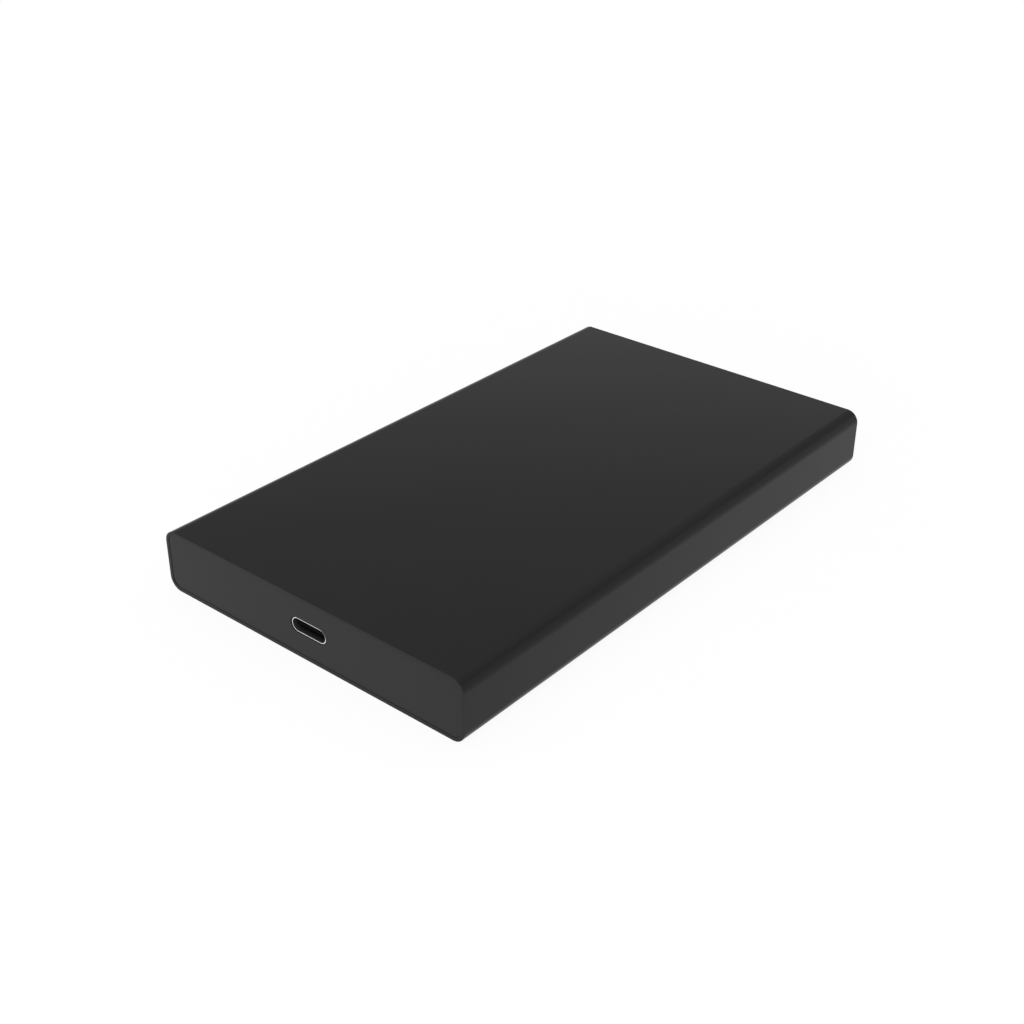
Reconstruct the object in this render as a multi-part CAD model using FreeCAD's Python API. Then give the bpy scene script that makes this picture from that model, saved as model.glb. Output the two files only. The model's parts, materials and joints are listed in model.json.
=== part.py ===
"""External solid state drive in an extruded metal sleeve.

A tray slides into the sleeve like a drawer. It carries a 2.5 inch solid state drive and the small bridge
board whose data port looks out of the front plate. Two screws in the rear plate pull the tray home.
Millimetres, +Z up, the port faces -Y, and the origin is the middle of the underside.
The case is worked out round what it holds, so its own width, length and height are sums of the sizes below.
"""
import FreeCAD
import Part
import math
import os

Vector = FreeCAD.Vector

# Sleeve, with four rails along its inner sides
CASE_WALL = 0.8
CASE_EDGE_RADIUS = 2.7
END_RECESS = 0.08
RAIL_DEPTH = 1.2
RAIL_HEIGHT = 1.0
RAIL_SLIDE_GAP = 0.15
RAIL_SIDE_GAP = 0.3

# End plates, and the two lugs that join the front one to the tray
FRONT_PLATE_THICKNESS = 2.0
REAR_PLATE_THICKNESS = 1.6
PLATE_EDGE_GAP = 0.08
CLAMP_GAP = 0.15
LUG_WIDTH = 6.0
LUG_DEPTH = 5.0
LUG_HEIGHT = 4.6
LUG_RAIL_GAP = 0.5
LUG_SCREW_SETBACK = 2.7
REAR_SCREW_INSET = 6.2

# Tray
TRAY_FLOOR = 1.2
TRAY_WALL = 1.0
TRAY_SIDE_HEIGHT = 6.0
TRAY_SIDE_STEP = 2.5
TRAY_SIDE_SLOPE = 8.0
TRAY_REAR_WALL = 3.0
TRAY_REAR_HEIGHT = 9.0
TRAY_EDGE_GAP = 0.15
TRAY_FRONT_GAP = 0.15
TRAY_WINDOW_MARGIN = 5.0
DRIVE_POST_HEIGHT = 2.2
DRIVE_POST_SIZE = 8.0
BOARD_POST_HEIGHT = 2.11
BOARD_POST_SIZE = 4.6
DRIVE_SIDE_GAP = 0.275
DRIVE_FRONT_GAP = 2.4
DRIVE_REAR_GAP = 1.29

# Screws: the small ones of the plates and the board, and the larger ones of the drive
PLATE_SCREW_THREAD = 2.0
PLATE_SCREW_HEAD = 3.8
REAR_SCREW_LENGTH = 4.5
LUG_SCREW_LENGTH = 4.5
BOARD_SCREW_LENGTH = 2.8
BOARD_SCREW_HEAD_HEIGHT = 1.3
DRIVE_SCREW_THREAD = 3.0
DRIVE_SCREW_HEAD = 5.5
DRIVE_SCREW_LENGTH = 5.0
SCREW_HEAD_RECESS = 0.05
SCREW_GAP = 0.05
SCREW_TIP_GAP = 0.3

# Cross recess of every screw, as shares of the head's diameter
CROSS_SPAN_SHARE = 0.56
CROSS_WIDTH_SHARE = 0.15
CROSS_DEPTH_SHARE = 0.16

# Bridge board and what stands on it
BOARD_DEPTH = 19.7
BOARD_THICKNESS = 1.2
BOARD_FRONT_GAP = 0.5
BOARD_LUG_GAP = 2.6
BOARD_POST_INSET = 3.4
BRIDGE_CHIP_SIZE = 8.0
BRIDGE_CHIP_HEIGHT = 0.9
BRIDGE_CHIP_OFFSET = 12.0
FIRMWARE_CHIP_WIDTH = 6.0
FIRMWARE_CHIP_DEPTH = 5.0
FIRMWARE_CHIP_HEIGHT = 0.8
FIRMWARE_CHIP_OFFSET = 11.5
CRYSTAL_WIDTH = 2.5
CRYSTAL_DEPTH = 3.2
CRYSTAL_HEIGHT = 0.7
CRYSTAL_GAP = 1.0
INDUCTOR_SIZE = 4.0
INDUCTOR_HEIGHT = 1.8
INDUCTOR_GAP = 1.2
CAPACITOR_LENGTH = 1.6
CAPACITOR_WIDTH = 0.8
CAPACITOR_GAP = 0.7
BRIDGE_CAPACITORS = 5
BOARD_PART_GAP = 1.2

# Data port: a drawn shell with straight sides and round ends, and the tongue that carries its contacts
PORT_WIDTH = 8.34
PORT_HEIGHT = 2.56
PORT_SHELL_WALL = 0.3
PORT_SHELL_LENGTH = 7.3
PORT_OFFSET = 0.88
PORT_SETBACK = 0.11
PORT_CUTOUT_GAP = 0.08
PORT_LEG_WIDTH = 0.9
PORT_LEG_THICKNESS = 0.3
PORT_LEG_STANDOFF = 0.05
PORT_LEG_POINT = 0.3
PORT_LEG_GAP = 0.15
PORT_FRONT_LEG = 3.9
PORT_LEG_PITCH = 2.6
TONGUE_WIDTH = 6.69
TONGUE_THICKNESS = 0.6
TONGUE_SETBACK = 0.7
TONGUE_ROOT_THICKNESS = 1.24
TONGUE_ROOT_LENGTH = 1.0
TONGUE_BLOCK_LENGTH = 2.2
TONGUE_FIT_GAP = 0.03
TONGUE_TIP = 0.4
PORT_CONTACTS_PER_SIDE = 12
PORT_CONTACT_PITCH = 0.5
PORT_CONTACT_WIDTH = 0.25
PORT_CONTACT_THICKNESS = 0.05
SHIELD_PLATE_THICKNESS = 0.14
SHIELD_PLATE_ROOT = 1.0

# Drive: a tub, a lid and a board, to the standard outline and screw pattern of its kind
DRIVE_WIDTH = 69.85
DRIVE_LENGTH = 100.2
DRIVE_HEIGHT = 7.0
DRIVE_CORNER = 2.5
DRIVE_WALL = 1.0
DRIVE_FLOOR = 0.9
DRIVE_LID_THICKNESS = 1.0
DRIVE_HOLE_INSET = 4.065
DRIVE_HOLE_FRONT = 14.0
DRIVE_HOLE_REAR = 9.6
DRIVE_SEAT_SIZE = 6.4
LID_RIB_WIDTH = 0.8
LID_RIB_DEPTH = 1.6
LID_RIB_GAP = 0.1
LID_RIB_END = 20.0
LID_HOOK_REACH = 0.3
LID_HOOK_HEIGHT = 0.6
LID_HOOK_WIDTH = 6.0
LID_HOOK_GAP = 0.1
LID_HOOK_INSET = 6.0
DRIVE_BOARD_LENGTH = 56.0
DRIVE_BOARD_THICKNESS = 1.0
DRIVE_BOARD_SIDE_GAP = 0.9
DRIVE_CHIP_HEIGHT = 1.1
CONTROLLER_SIZE = 14.0
CONTROLLER_OFFSET = 7.0
CACHE_WIDTH = 9.0
CACHE_DEPTH = 12.0
CACHE_OFFSET = 9.0
FLASH_COUNT = 4
FLASH_WIDTH = 12.0
FLASH_DEPTH = 18.0
FLASH_GAP = 3.0
DRIVE_PART_GAP = 3.0
DRIVE_CAPACITORS = 6
DRIVE_PAD_MARGIN = 0.5

# Thermal pad between the drive's lid and the sleeve
CASE_PAD_THICKNESS = 1.3
CASE_PAD_WIDTH = 48.0
CASE_PAD_LENGTH = 70.0

# Drive plug and board socket: two keyed blades, one for signals and one for power
PLUG_LEVEL = 3.5
PLUG_OFFSET = -4.8
PLUG_SETBACK = 0.8
PLUG_BLOCK_DEPTH = 3.2
PLUG_RISE = 1.9
PLUG_GUIDE_WIDTH = 2.2
PLUG_NOTCH_GAP = 0.2
BLADE_THICKNESS = 1.23
BLADE_LENGTH = 5.0
BLADE_GAP = 2.4
BLADE_KEY_WIDTH = 1.2
BLADE_KEY_DROP = 1.1
SIGNAL_BLADE = 10.4
SIGNAL_CONTACTS = 7
POWER_BLADE = 20.6
POWER_CONTACTS = 15
CONTACT_PITCH = 1.27
CONTACT_WIDTH = 0.8
CONTACT_THICKNESS = 0.12
CONTACT_TIP_GAP = 0.5
CONTACT_TAIL = 1.6
SOCKET_SLOT_GAP = 0.15
SOCKET_NOSE_WALL = 0.6
SOCKET_NOSE_SIDE = 1.0
SOCKET_NOSE_GAP = 0.25
SOCKET_BODY_DEPTH = 7.5
SOCKET_BODY_RISE = 0.9
SOCKET_PIN_GAP = 0.15

SIDES = (-1, 1)
UP = Vector(0, 0, 1)
DOWN = Vector(0, 0, -1)
FORWARD = Vector(0, -1, 0)
SHORTEST_EDGE = 1e-6

# Stations across the case, from the middle outwards
drive_half = DRIVE_WIDTH / 2
tray_wall_inner = drive_half + DRIVE_SIDE_GAP
tray_wall_outer = tray_wall_inner + TRAY_WALL
rail_tip = tray_wall_outer + RAIL_SIDE_GAP
bore_half = rail_tip + RAIL_DEPTH
case_half = bore_half + CASE_WALL
bore_radius = CASE_EDGE_RADIUS - CASE_WALL
lug_outer = rail_tip - LUG_RAIL_GAP
lug_middle = lug_outer - LUG_WIDTH / 2
board_half = lug_outer - LUG_WIDTH - BOARD_LUG_GAP
board_post_x = board_half - BOARD_POST_INSET
rear_screw_x = tray_wall_outer - REAR_SCREW_INSET
drive_hole_x = drive_half - DRIVE_HOLE_INSET
drive_bore_half = drive_half - DRIVE_WALL
drive_board_half = drive_bore_half - DRIVE_BOARD_SIDE_GAP
rib_outer = drive_bore_half - LID_RIB_GAP

# Levels, from the underside upwards
tray_root = CASE_WALL + TRAY_FLOOR / 2
tray_top = CASE_WALL + TRAY_FLOOR
rail_low = tray_top + RAIL_SLIDE_GAP
board_bottom = tray_top + BOARD_POST_HEIGHT
board_top = board_bottom + BOARD_THICKNESS
port_level = board_top + PORT_SHELL_WALL + PORT_HEIGHT / 2
drive_bottom = tray_top + DRIVE_POST_HEIGHT
drive_floor_top = drive_bottom + DRIVE_FLOOR
blade_level = drive_bottom + PLUG_LEVEL
blade_top = blade_level + BLADE_THICKNESS / 2
plug_contact_z = (blade_top, blade_top + CONTACT_THICKNESS)
socket_contact_z = (plug_contact_z[1], plug_contact_z[1] + CONTACT_THICKNESS)
drive_board_top = blade_top
drive_board_bottom = drive_board_top - DRIVE_BOARD_THICKNESS
drive_chip_top = drive_board_top + DRIVE_CHIP_HEIGHT
drive_top = drive_bottom + DRIVE_HEIGHT
lid_bottom = drive_top - DRIVE_LID_THICKNESS
lid_hook_bottom = lid_bottom - LID_RIB_DEPTH
bore_top = drive_top + CASE_PAD_THICKNESS
case_top = bore_top + CASE_WALL

# Stations along the case, from the front end backwards
inner_length = BOARD_FRONT_GAP + BOARD_DEPTH + DRIVE_FRONT_GAP + DRIVE_LENGTH + DRIVE_REAR_GAP
clamped_length = FRONT_PLATE_THICKNESS + inner_length + TRAY_REAR_WALL + CLAMP_GAP + REAR_PLATE_THICKNESS
case_rear = clamped_length / 2 + END_RECESS
case_front = -case_rear
front_plate_face = case_front + END_RECESS
front_plate_back = front_plate_face + FRONT_PLATE_THICKNESS
rear_plate_face = case_rear - END_RECESS
rear_plate_inner = rear_plate_face - REAR_PLATE_THICKNESS
tray_front = front_plate_back + TRAY_FRONT_GAP
tray_rear = rear_plate_inner - CLAMP_GAP
board_front = front_plate_back + BOARD_FRONT_GAP
board_rear = board_front + BOARD_DEPTH
drive_front = board_rear + DRIVE_FRONT_GAP
drive_rear = drive_front + DRIVE_LENGTH
port_front = front_plate_face + PORT_SETBACK
port_rear = port_front + PORT_SHELL_LENGTH
tongue_front = port_front + TONGUE_SETBACK
tongue_block_front = port_rear - TONGUE_BLOCK_LENGTH
tongue_root_front = tongue_block_front - TONGUE_ROOT_LENGTH
blade_front = drive_front + PLUG_SETBACK
plug_block_front = blade_front + BLADE_LENGTH
drive_board_front = plug_block_front + PLUG_BLOCK_DEPTH
drive_board_rear = drive_board_front + DRIVE_BOARD_LENGTH
socket_body_rear = drive_front - SOCKET_NOSE_GAP
socket_body_front = socket_body_rear - SOCKET_BODY_DEPTH
socket_nose_rear = plug_block_front - SOCKET_NOSE_GAP
socket_pin_rear = socket_body_front - SOCKET_PIN_GAP
socket_pin_front = socket_pin_rear - CONTACT_THICKNESS
board_part_rear = socket_pin_front - BOARD_PART_GAP
drive_hole_rows = (drive_front + DRIVE_HOLE_FRONT, drive_rear - DRIVE_HOLE_REAR)
controller_front = drive_board_front + CONTACT_TAIL + DRIVE_PART_GAP
flash_front = controller_front + CONTROLLER_SIZE + DRIVE_PART_GAP

# Widths of the plug and of the nose that enters it
blades_width = SIGNAL_BLADE + BLADE_GAP + POWER_BLADE
blades_left = PLUG_OFFSET - blades_width / 2
nose_width = blades_width + 2 * SOCKET_NOSE_SIDE
plug_width = nose_width + 2 * (SOCKET_NOSE_GAP + PLUG_GUIDE_WIDTH)

# Each kind of screw: thread diameter, head diameter and length
rear_screw = (PLATE_SCREW_THREAD, PLATE_SCREW_HEAD, REAR_SCREW_LENGTH)
lug_screw = (PLATE_SCREW_THREAD, PLATE_SCREW_HEAD, LUG_SCREW_LENGTH)
board_screw = (PLATE_SCREW_THREAD, PLATE_SCREW_HEAD, BOARD_SCREW_LENGTH)
drive_screw = (DRIVE_SCREW_THREAD, DRIVE_SCREW_HEAD, DRIVE_SCREW_LENGTH)


# Basic shapes

def about(middle, size):
    """The low and high ends of a span of this size about its middle."""
    return (middle - size / 2, middle + size / 2)


def on_side(side, near, far):
    """The low and high ends of a span between two distances from the middle, on one side of it."""
    return (min(side * near, side * far), max(side * near, side * far))


def block(x, y, z):
    """A plain block over three spans."""
    return Part.makeBox(x[1] - x[0], y[1] - y[0], z[1] - z[0], Vector(x[0], y[0], z[0]))


def rounded_face(u, v, radius, place):
    """A rectangle with round corners over two spans; place turns (u, v) into a point."""
    bow = radius * (1 - math.sqrt(0.5))
    corners = (
        ((u[0], v[0] + radius), (u[0] + bow, v[0] + bow), (u[0] + radius, v[0])),
        ((u[1] - radius, v[0]), (u[1] - bow, v[0] + bow), (u[1], v[0] + radius)),
        ((u[1], v[1] - radius), (u[1] - bow, v[1] - bow), (u[1] - radius, v[1])),
        ((u[0] + radius, v[1]), (u[0] + bow, v[1] - bow), (u[0], v[1] - radius)),
    )
    edges = []
    for corner, next_corner in zip(corners, corners[1:] + corners[:1]):
        first, middle, last = (place(*point) for point in corner)
        edges.append(Part.Arc(first, middle, last).toShape())
        next_first = place(*next_corner[0])
        if last.distanceToPoint(next_first) > SHORTEST_EDGE:
            edges.append(Part.makeLine(last, next_first))
    return Part.Face(Part.Wire(edges))


def bar(x, z, radius, y):
    """A bar along Y with a rounded rectangular section."""
    face = rounded_face(x, z, radius, lambda u, v: Vector(u, y[0], v))
    return face.extrude(Vector(0, y[1] - y[0], 0))


def plate(x, y, radius, z):
    """A flat plate with rounded corners, as thick as the span z."""
    face = rounded_face(x, y, radius, lambda u, v: Vector(u, v, z[0]))
    return face.extrude(Vector(0, 0, z[1] - z[0]))


def extruded(points, along):
    """A straight-edged outline pushed along a vector."""
    return Part.Face(Part.makePolygon(points + points[:1])).extrude(along)


def turned(profile, seat):
    """A turned piece: (radius, depth) points, with depth measured from the seat along its direction."""
    points = [Vector(radius, 0, depth) for radius, depth in profile]
    solid = Part.Face(Part.makePolygon(points + points[:1])).revolve(Vector(0, 0, 0), UP, 360)
    return seated(solid, seat)


def seated(solid, seat):
    """Moves a solid made on the Z axis to a seat, which is a point and a direction."""
    foot, direction = seat
    solid.Placement = FreeCAD.Placement(foot, FreeCAD.Rotation(UP, direction))
    return solid


def group(solids):
    """Several like solids kept together."""
    return Part.makeCompound(solids)


# Screws and the holes that they go into; each screw is driven along the direction of its seat

def flat_screw(sizes, seat):
    """A countersunk screw with a cross recess, whose flat head starts at the seat."""
    thread, head, length = sizes
    cone_end = (head - thread) / 2
    body = turned([(0, 0), (head / 2, 0), (thread / 2, cone_end), (thread / 2, length), (0, length)], seat)
    span = about(0, head * CROSS_SPAN_SHARE)
    width = about(0, head * CROSS_WIDTH_SHARE)
    depth = (-SCREW_GAP, head * CROSS_DEPTH_SHARE)
    cross = block(span, width, depth).fuse(block(width, span, depth))
    return body.cut(seated(cross, seat))


def flat_holes(sizes, seats):
    """Countersunk holes for such screws, open past the head."""
    thread, head, length = sizes
    wide = head / 2 + SCREW_GAP
    narrow = thread / 2 + SCREW_GAP
    end = length + SCREW_TIP_GAP
    profile = [(0, -head), (wide + head, -head), (narrow, wide - narrow), (narrow, end), (0, end)]
    return [turned(profile, seat) for seat in seats]


def pan_screw(sizes, head_height, seat):
    """A screw with a raised head that bears on the seat."""
    thread, head, length = sizes
    return turned([(0, -head_height), (head / 2, -head_height), (head / 2, 0), (thread / 2, 0),
                   (thread / 2, length), (0, length)], seat)


def pan_holes(sizes, seats):
    """Plain holes for such screws, from above the seat to past the tip."""
    thread, _, length = sizes
    radius = thread / 2 + SCREW_GAP
    end = length + SCREW_TIP_GAP
    return [turned([(0, -length), (radius, -length), (radius, end), (0, end)], seat) for seat in seats]


def rear_screw_seats():
    """Two seats in the rear plate, level with the middle of the case."""
    y = rear_plate_face - SCREW_HEAD_RECESS
    return [(Vector(side * rear_screw_x, y, case_top / 2), FORWARD) for side in SIDES]


def lug_screw_seats():
    """Two seats under the tray's floor, below the front plate's lugs."""
    y = front_plate_back + LUG_SCREW_SETBACK
    return [(Vector(side * lug_middle, y, CASE_WALL + SCREW_HEAD_RECESS), UP) for side in SIDES]


def drive_hole_seats(rows):
    """Seats under the tray's floor, below the drive's standard screw holes in these rows."""
    level = CASE_WALL + SCREW_HEAD_RECESS
    return [(Vector(side * drive_hole_x, y, level), UP) for y in rows for side in SIDES]


def drive_screw_seats():
    """Two seats below the rear screw holes; the plug holds the drive's front."""
    return drive_hole_seats([drive_hole_rows[1]])


def board_screw_seats():
    """Two seats on top of the bridge board, near its front corners."""
    y = board_front + BOARD_POST_INSET
    return [(Vector(side * board_post_x, y, board_top), DOWN) for side in SIDES]


def rear_plate_screws():
    return group([flat_screw(rear_screw, seat) for seat in rear_screw_seats()])


def front_plate_screws():
    return group([flat_screw(lug_screw, seat) for seat in lug_screw_seats()])


def drive_screws():
    return group([flat_screw(drive_screw, seat) for seat in drive_screw_seats()])


def bridge_board_screws():
    return group([pan_screw(board_screw, BOARD_SCREW_HEAD_HEIGHT, seat) for seat in board_screw_seats()])


# The case: sleeve, end plates, tray and thermal pad

def sleeve():
    """The extruded tube, whose rails stop short of both ends so that the plates bear on them."""
    length = (case_front, case_rear)
    outer = bar((-case_half, case_half), (0, case_top), CASE_EDGE_RADIUS, length)
    bore = bar((-bore_half, bore_half), (CASE_WALL, bore_top), bore_radius, length)
    rails = []
    for low in (rail_low, case_top - rail_low - RAIL_HEIGHT):
        for side in SIDES:
            x = on_side(side, rail_tip, bore_half + CASE_WALL / 2)
            rails.append(block(x, (front_plate_back, rear_plate_inner), (low, low + RAIL_HEIGHT)))
    return outer.cut(bore).fuse(rails).removeSplitter()


def end_plate(y):
    """A plain plate that fills the sleeve's bore but for the gap round its edge."""
    half = bore_half - PLATE_EDGE_GAP
    z = (CASE_WALL + PLATE_EDGE_GAP, bore_top - PLATE_EDGE_GAP)
    return bar((-half, half), z, bore_radius - PLATE_EDGE_GAP, y)


def front_plate():
    """The plate with the port's cut-out, and a lug at each side that stands on the tray."""
    body = end_plate((front_plate_face, front_plate_back))
    lug_y = (front_plate_face + FRONT_PLATE_THICKNESS / 2, front_plate_back + LUG_DEPTH)
    lug_z = (tray_top, tray_top + LUG_HEIGHT)
    lugs = [block(on_side(side, lug_outer - LUG_WIDTH, lug_outer), lug_y, lug_z) for side in SIDES]
    cutout = port_bar(PORT_SHELL_WALL + PORT_CUTOUT_GAP, (case_front, front_plate_back + LUG_DEPTH))
    return body.fuse(lugs).removeSplitter().cut(flat_holes(lug_screw, lug_screw_seats()) + [cutout])


def rear_plate():
    """The plain plate with two countersunk holes."""
    return end_plate((rear_plate_inner, rear_plate_face)).cut(flat_holes(rear_screw, rear_screw_seats()))


def tray_side(side):
    """One long side of the tray, stepped down and sloped at its front end."""
    x = on_side(side, tray_wall_inner, tray_wall_outer)
    step = tray_top + TRAY_SIDE_STEP
    high = tray_top + TRAY_SIDE_HEIGHT
    outline = [(drive_front, tray_root), (drive_front, step), (drive_front + TRAY_SIDE_SLOPE, high),
               (tray_rear, high), (tray_rear, tray_root)]
    return extruded([Vector(x[0], y, z) for y, z in outline], Vector(x[1] - x[0], 0, 0))


def tray_posts():
    """Pads under the drive's screw holes, joined to the tray's sides, and posts under the board's corners."""
    posts = []
    for side in SIDES:
        pad_x = on_side(side, drive_hole_x - DRIVE_POST_SIZE / 2, tray_wall_outer)
        for y in drive_hole_rows:
            posts.append(block(pad_x, about(y, DRIVE_POST_SIZE), (tray_root, drive_bottom)))
        post_x = about(side * board_post_x, BOARD_POST_SIZE)
        for y in (board_front + BOARD_POST_INSET, board_rear - BOARD_POST_INSET):
            posts.append(block(post_x, about(y, BOARD_POST_SIZE), (tray_root, board_bottom)))
    return posts


def tray_window():
    """The opening in the tray's floor, kept clear of the drive's pads."""
    margin = DRIVE_POST_SIZE / 2 + TRAY_WINDOW_MARGIN
    half = drive_hole_x - margin
    y = (drive_hole_rows[0] + margin, drive_hole_rows[1] - margin)
    return block((-half, half), y, (0, drive_bottom))


def tray():
    """The moulded drawer: a floor with a window, two sides, a rear wall, and the seats of drive and board."""
    floor_half = bore_half - TRAY_EDGE_GAP
    length = (tray_front, tray_rear)
    filled = bar((-floor_half, floor_half), (CASE_WALL, bore_top), bore_radius, length)
    floor = filled.common(block((-floor_half, floor_half), length, (CASE_WALL, tray_top)))
    rear_wall = block((-tray_wall_outer, tray_wall_outer), (tray_rear - TRAY_REAR_WALL, tray_rear),
                      (tray_root, tray_top + TRAY_REAR_HEIGHT))
    body = floor.fuse([rear_wall] + [tray_side(side) for side in SIDES] + tray_posts()).removeSplitter()
    holes = flat_holes(rear_screw, rear_screw_seats()) + flat_holes(lug_screw, lug_screw_seats())
    holes += flat_holes(drive_screw, drive_screw_seats()) + pan_holes(board_screw, board_screw_seats())
    return body.cut(holes + [tray_window()])


def case_thermal_pad():
    """The pad that carries the drive's heat into the top of the sleeve."""
    y = about((drive_front + drive_rear) / 2, CASE_PAD_LENGTH)
    return block(about(0, CASE_PAD_WIDTH), y, (drive_top, bore_top))


# The bridge board and its parts

def bridge_board():
    """The board, with holes for its two screws and slots for the port's legs."""
    body = block((-board_half, board_half), (board_front, board_rear), (board_bottom, board_top))
    return body.cut(pan_holes(board_screw, board_screw_seats()) + port_legs(PORT_LEG_GAP))


def board_part(x, depth, height):
    """A block on the bridge board, whose rear edge is in line with the others'."""
    return block(x, (board_part_rear - depth, board_part_rear), (board_top, board_top + height))


def bridge_chip():
    """The square chip that joins the drive to the port."""
    x = about(-BRIDGE_CHIP_OFFSET, BRIDGE_CHIP_SIZE)
    return board_part(x, BRIDGE_CHIP_SIZE, BRIDGE_CHIP_HEIGHT)


def firmware_chip():
    """The small leadless memory chip that holds the bridge chip's program."""
    x = about(FIRMWARE_CHIP_OFFSET, FIRMWARE_CHIP_WIDTH)
    return board_part(x, FIRMWARE_CHIP_DEPTH, FIRMWARE_CHIP_HEIGHT)


def bridge_crystal():
    """The can of the crystal, beside the bridge chip."""
    right = -BRIDGE_CHIP_OFFSET - BRIDGE_CHIP_SIZE / 2 - CRYSTAL_GAP
    return board_part((right - CRYSTAL_WIDTH, right), CRYSTAL_DEPTH, CRYSTAL_HEIGHT)


def inductor_pair(left, y_front, z):
    """Two moulded inductors, one behind the other."""
    pitch = INDUCTOR_SIZE + INDUCTOR_GAP
    return group([block((left, left + INDUCTOR_SIZE), (y_front + start, y_front + start + INDUCTOR_SIZE), z)
                  for start in (0, pitch)])


def bridge_inductors():
    """The inductors beside the firmware chip."""
    left = FIRMWARE_CHIP_OFFSET + FIRMWARE_CHIP_WIDTH / 2 + INDUCTOR_GAP
    y_front = board_part_rear - 2 * INDUCTOR_SIZE - INDUCTOR_GAP
    return inductor_pair(left, y_front, (board_top, board_top + INDUCTOR_HEIGHT))


def capacitor_row(count, left, y_front, bottom):
    """A row of small block capacitors that runs to the right."""
    pitch = CAPACITOR_WIDTH + CAPACITOR_GAP
    starts = [left + index * pitch for index in range(count)]
    return group([block((start, start + CAPACITOR_WIDTH), (y_front, y_front + CAPACITOR_LENGTH),
                        (bottom, bottom + CAPACITOR_WIDTH)) for start in starts])


def bridge_capacitors():
    """A row between the bridge chip and the firmware chip, behind the port."""
    left = -BRIDGE_CHIP_OFFSET + BRIDGE_CHIP_SIZE / 2 + CAPACITOR_GAP
    return capacitor_row(BRIDGE_CAPACITORS, left, board_part_rear - CAPACITOR_LENGTH, board_top)


# The data port

def port_bar(growth, y):
    """The port's straight-sided, round-ended section, grown all round and pushed along Y."""
    height = PORT_HEIGHT + 2 * growth
    x = about(PORT_OFFSET, PORT_WIDTH + 2 * growth)
    return bar(x, about(port_level, height), height / 2, y)


def port_legs(growth):
    """Four legs that go down beside the shell and through the board, grown for the slots that take them."""
    outer = PORT_WIDTH / 2 + PORT_SHELL_WALL + PORT_LEG_STANDOFF
    z = (board_bottom - PORT_LEG_POINT - growth, port_level)
    legs = []
    for side in SIDES:
        near, far = on_side(side, outer - PORT_LEG_THICKNESS - growth, outer + growth)
        for index in range(2):
            y_middle = port_front + PORT_FRONT_LEG + index * PORT_LEG_PITCH
            y = about(y_middle, PORT_LEG_WIDTH + 2 * growth)
            legs.append(block((PORT_OFFSET + near, PORT_OFFSET + far), y, z))
    return legs


def port_shell():
    """The drawn shell, which lies on the board, with its legs."""
    length = (port_front, port_rear)
    shell = port_bar(PORT_SHELL_WALL, length).fuse(port_legs(0))
    return shell.cut(port_bar(0, length)).removeSplitter()


def port_contacts():
    """Rows of thin strips on both faces of the tongue."""
    y = (tongue_front + TONGUE_TIP, tongue_root_front)
    first = PORT_OFFSET - (PORT_CONTACTS_PER_SIDE - 1) / 2 * PORT_CONTACT_PITCH
    strips = []
    for side in SIDES:
        low, high = on_side(side, TONGUE_THICKNESS / 2, TONGUE_THICKNESS / 2 + PORT_CONTACT_THICKNESS)
        for index in range(PORT_CONTACTS_PER_SIDE):
            x = about(first + index * PORT_CONTACT_PITCH, PORT_CONTACT_WIDTH)
            strips.append(block(x, y, (port_level + low, port_level + high)))
    return group(strips)


def port_shield_plate():
    """The thin plate in the middle of the tongue, flush with its sides and held by its root."""
    y = (tongue_front + TONGUE_TIP, tongue_block_front + SHIELD_PLATE_ROOT)
    return block(about(PORT_OFFSET, TONGUE_WIDTH), y, about(port_level, SHIELD_PLATE_THICKNESS))


def port_tongue():
    """The moulded block at the back of the shell, with the tongue and its thicker root in front of it."""
    x = about(PORT_OFFSET, TONGUE_WIDTH)
    rear_block = port_bar(-TONGUE_FIT_GAP, (tongue_block_front, port_rear))
    root = block(x, (tongue_root_front, port_rear), about(port_level, TONGUE_ROOT_THICKNESS))
    tongue = block(x, (tongue_front, port_rear), about(port_level, TONGUE_THICKNESS))
    return rear_block.fuse([root, tongue]).removeSplitter().cut(port_shield_plate())


# The socket on the board and the plug of the drive

def blade_spans():
    """The left and right ends of the signal blade and the power blade."""
    power_left = blades_left + SIGNAL_BLADE + BLADE_GAP
    return ((blades_left, blades_left + SIGNAL_BLADE), (power_left, power_left + POWER_BLADE))


def blade(x, y, growth, headroom):
    """A keyed blade, flat with a hook at its left end, grown all round and by a headroom on top."""
    left, right = x[0] - growth, x[1] + growth
    key_right = x[0] + BLADE_KEY_WIDTH + growth
    top = blade_top + headroom
    bottom = blade_level - BLADE_THICKNESS / 2 - growth
    key_bottom = bottom - BLADE_KEY_DROP
    outline = [(left, top), (left, key_bottom), (key_right, key_bottom), (key_right, bottom),
               (right, bottom), (right, top)]
    return extruded([Vector(u, y[0], v) for u, v in outline], Vector(0, y[1] - y[0], 0))


def contact_rows():
    """For each blade, the left edges of its contacts, spread over its flat part."""
    rows = []
    for (left, right), count in zip(blade_spans(), (SIGNAL_CONTACTS, POWER_CONTACTS)):
        first = (left + BLADE_KEY_WIDTH + right - CONTACT_WIDTH - (count - 1) * CONTACT_PITCH) / 2
        rows.append([first + index * CONTACT_PITCH for index in range(count)])
    return rows


def contact_slots(y, z):
    """One flat slot for each row of contacts."""
    return [block((row[0], row[-1] + CONTACT_WIDTH), y, z) for row in contact_rows()]


def drive_plug_contacts():
    """Straight strips on the blades, which run back through the plug onto the drive's board."""
    y = (blade_front + CONTACT_TIP_GAP, drive_board_front + CONTACT_TAIL)
    lefts = [left for row in contact_rows() for left in row]
    return group([block((left, left + CONTACT_WIDTH), y, plug_contact_z) for left in lefts])


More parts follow.
